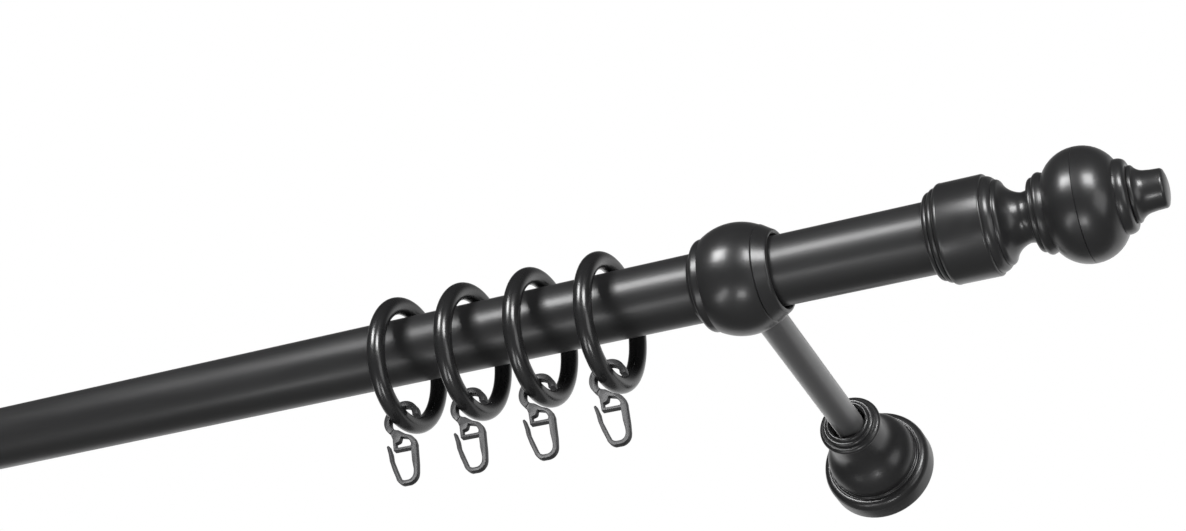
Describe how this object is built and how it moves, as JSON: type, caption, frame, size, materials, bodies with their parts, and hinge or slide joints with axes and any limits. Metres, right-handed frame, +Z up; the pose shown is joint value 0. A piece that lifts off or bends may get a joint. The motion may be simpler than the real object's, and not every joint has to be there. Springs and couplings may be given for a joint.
{
  "type": "curtain rod with brackets",
  "caption": "Round curtain rod held off the wall by ball brackets with bell-shaped wall flanges, with turned finials, hanging rings and clip-on pleat hooks.",
  "frame": {"origin": "centre of the four wall screw holes: on the wall plane, midway between the two brackets, at the height of the rod's axis", "axes": "+X along the rod, +Y into the wall, +Z up"},
  "size_m": [0.9314, 0.1931, 0.0896],
  "materials": {
    "rod_charcoal": "satin dark charcoal lacquer on the tube",
    "bracket_charcoal": "satin dark charcoal lacquer on turned metal",
    "finial_charcoal": "satin dark charcoal lacquer on turned metal",
    "stem_grey": "matte mid-grey lacquer",
    "ring_charcoal": "semi-gloss dark charcoal lacquer",
    "hook_plastic": "moulded grey plastic",
    "plug_plastic": "moulded dark plastic",
    "plate_steel": "zinc-plated steel",
    "screw_steel": "zinc-plated steel"
  },
  "bodies": {
    "rod_and_brackets": {"rod_tube": "rod_charcoal", "ball_holder_right": "bracket_charcoal", "stem_right": "stem_grey", "stem_stud_right": "screw_steel", "wall_plate_right": "plate_steel", "ball_holder_left": "bracket_charcoal", "stem_left": "stem_grey", "stem_stud_left": "screw_steel", "wall_plate_left": "plate_steel"},
    "locking_screw_right_body": {"locking_screw_right": "screw_steel"},
    "wall_flange_right_body": {"wall_flange_right": "bracket_charcoal"},
    "finial_right": {"finial_cup_right": "finial_charcoal", "finial_bulb_inner_right": "finial_charcoal", "finial_bulb_outer_right": "finial_charcoal", "finial_tip_right": "finial_charcoal", "finial_plug_right": "plug_plastic", "finial_tie_stud_right": "screw_steel"},
    "locking_screw_left_body": {"locking_screw_left": "screw_steel"},
    "wall_flange_left_body": {"wall_flange_left": "bracket_charcoal"},
    "finial_left": {"finial_cup_left": "finial_charcoal", "finial_bulb_inner_left": "finial_charcoal", "finial_bulb_outer_left": "finial_charcoal", "finial_tip_left": "finial_charcoal", "finial_plug_left": "plug_plastic", "finial_tie_stud_left": "screw_steel"},
    "ring_1_body": {"ring_1": "ring_charcoal"},
    "hook_1_body": {"hook_1": "hook_plastic"},
    "ring_2_body": {"ring_2": "ring_charcoal"},
    "hook_2_body": {"hook_2": "hook_plastic"},
    "ring_3_body": {"ring_3": "ring_charcoal"},
    "hook_3_body": {"hook_3": "hook_plastic"},
    "ring_4_body": {"ring_4": "ring_charcoal"},
    "hook_4_body": {"hook_4": "hook_plastic"},
    "ring_5_body": {"ring_5": "ring_charcoal"},
    "hook_5_body": {"hook_5": "hook_plastic"},
    "ring_6_body": {"ring_6": "ring_charcoal"},
    "hook_6_body": {"hook_6": "hook_plastic"},
    "ring_7_body": {"ring_7": "ring_charcoal"},
    "hook_7_body": {"hook_7": "hook_plastic"},
    "ring_8_body": {"ring_8": "ring_charcoal"},
    "hook_8_body": {"hook_8": "hook_plastic"}
  },
  "joints": [
    {"name": "locking_screw_right_out", "type": "slide", "parent": "rod_and_brackets", "child": "locking_screw_right_body", "axis": [0, 0, 1], "range_m": [0, 0.004]},
    {"name": "wall_flange_right_forward", "type": "slide", "parent": "rod_and_brackets", "child": "wall_flange_right_body", "axis": [0, -1, 0], "range_m": [0, 0.085]},
    {"name": "finial_right_pull_off", "type": "slide", "parent": "rod_and_brackets", "child": "finial_right", "axis": [1, 0, 0], "range_m": [0, 0.03]},
    {"name": "locking_screw_left_out", "type": "slide", "parent": "rod_and_brackets", "child": "locking_screw_left_body", "axis": [0, 0, 1], "range_m": [0, 0.004]},
    {"name": "wall_flange_left_forward", "type": "slide", "parent": "rod_and_brackets", "child": "wall_flange_left_body", "axis": [0, -1, 0], "range_m": [0, 0.085]},
    {"name": "finial_left_pull_off", "type": "slide", "parent": "rod_and_brackets", "child": "finial_left", "axis": [-1, 0, 0], "range_m": [0, 0.03]},
    {"name": "ring_1_slide", "type": "slide", "parent": "rod_and_brackets", "child": "ring_1_body", "axis": [-1, 0, 0], "range_m": [0, 0.034]},
    {"name": "ring_2_slide", "type": "slide", "parent": "rod_and_brackets", "child": "ring_2_body", "axis": [-1, 0, 0], "range_m": [0, 0.008]},
    {"name": "ring_3_slide", "type": "slide", "parent": "rod_and_brackets", "child": "ring_3_body", "axis": [-1, 0, 0], "range_m": [0, 0.008]},
    {"name": "ring_4_slide", "type": "slide", "parent": "rod_and_brackets", "child": "ring_4_body", "axis": [-1, 0, 0], "range_m": [-0.12, 0.008]},
    {"name": "ring_5_slide", "type": "slide", "parent": "rod_and_brackets", "child": "ring_5_body", "axis": [1, 0, 0], "range_m": [-0.12, 0.008]},
    {"name": "ring_6_slide", "type": "slide", "parent": "rod_and_brackets", "child": "ring_6_body", "axis": [1, 0, 0], "range_m": [0, 0.008]},
    {"name": "ring_7_slide", "type": "slide", "parent": "rod_and_brackets", "child": "ring_7_body", "axis": [1, 0, 0], "range_m": [0, 0.008]},
    {"name": "ring_8_slide", "type": "slide", "parent": "rod_and_brackets", "child": "ring_8_body", "axis": [1, 0, 0], "range_m": [0, 0.034]},
    {"name": "hook_1_round_ring", "type": "hinge", "parent": "ring_1_body", "child": "hook_1_body", "pos_m": [-0.2435, -0.164, -0.0074], "axis": [1, 0, 0], "range_deg": [-45, 45]},
    {"name": "hook_2_round_ring", "type": "hinge", "parent": "ring_2_body", "child": "hook_2_body", "pos_m": [-0.212, -0.164, -0.0074], "axis": [1, 0, 0], "range_deg": [-45, 45]},
    {"name": "hook_3_round_ring", "type": "hinge", "parent": "ring_3_body", "child": "hook_3_body", "pos_m": [-0.1805, -0.164, -0.0074], "axis": [1, 0, 0], "range_deg": [-45, 45]},
    {"name": "hook_4_round_ring", "type": "hinge", "parent": "ring_4_body", "child": "hook_4_body", "pos_m": [-0.149, -0.164, -0.0074], "axis": [1, 0, 0], "range_deg": [-45, 45]},
    {"name": "hook_5_round_ring", "type": "hinge", "parent": "ring_5_body", "child": "hook_5_body", "pos_m": [0.149, -0.164, -0.0074], "axis": [1, 0, 0], "range_deg": [-45, 45]},
    {"name": "hook_6_round_ring", "type": "hinge", "parent": "ring_6_body", "child": "hook_6_body", "pos_m": [0.1805, -0.164, -0.0074], "axis": [1, 0, 0], "range_deg": [-45, 45]},
    {"name": "hook_7_round_ring", "type": "hinge", "parent": "ring_7_body", "child": "hook_7_body", "pos_m": [0.212, -0.164, -0.0074], "axis": [1, 0, 0], "range_deg": [-45, 45]},
    {"name": "hook_8_round_ring", "type": "hinge", "parent": "ring_8_body", "child": "hook_8_body", "pos_m": [0.2435, -0.164, -0.0074], "axis": [1, 0, 0], "range_deg": [-45, 45]}
  ]
}
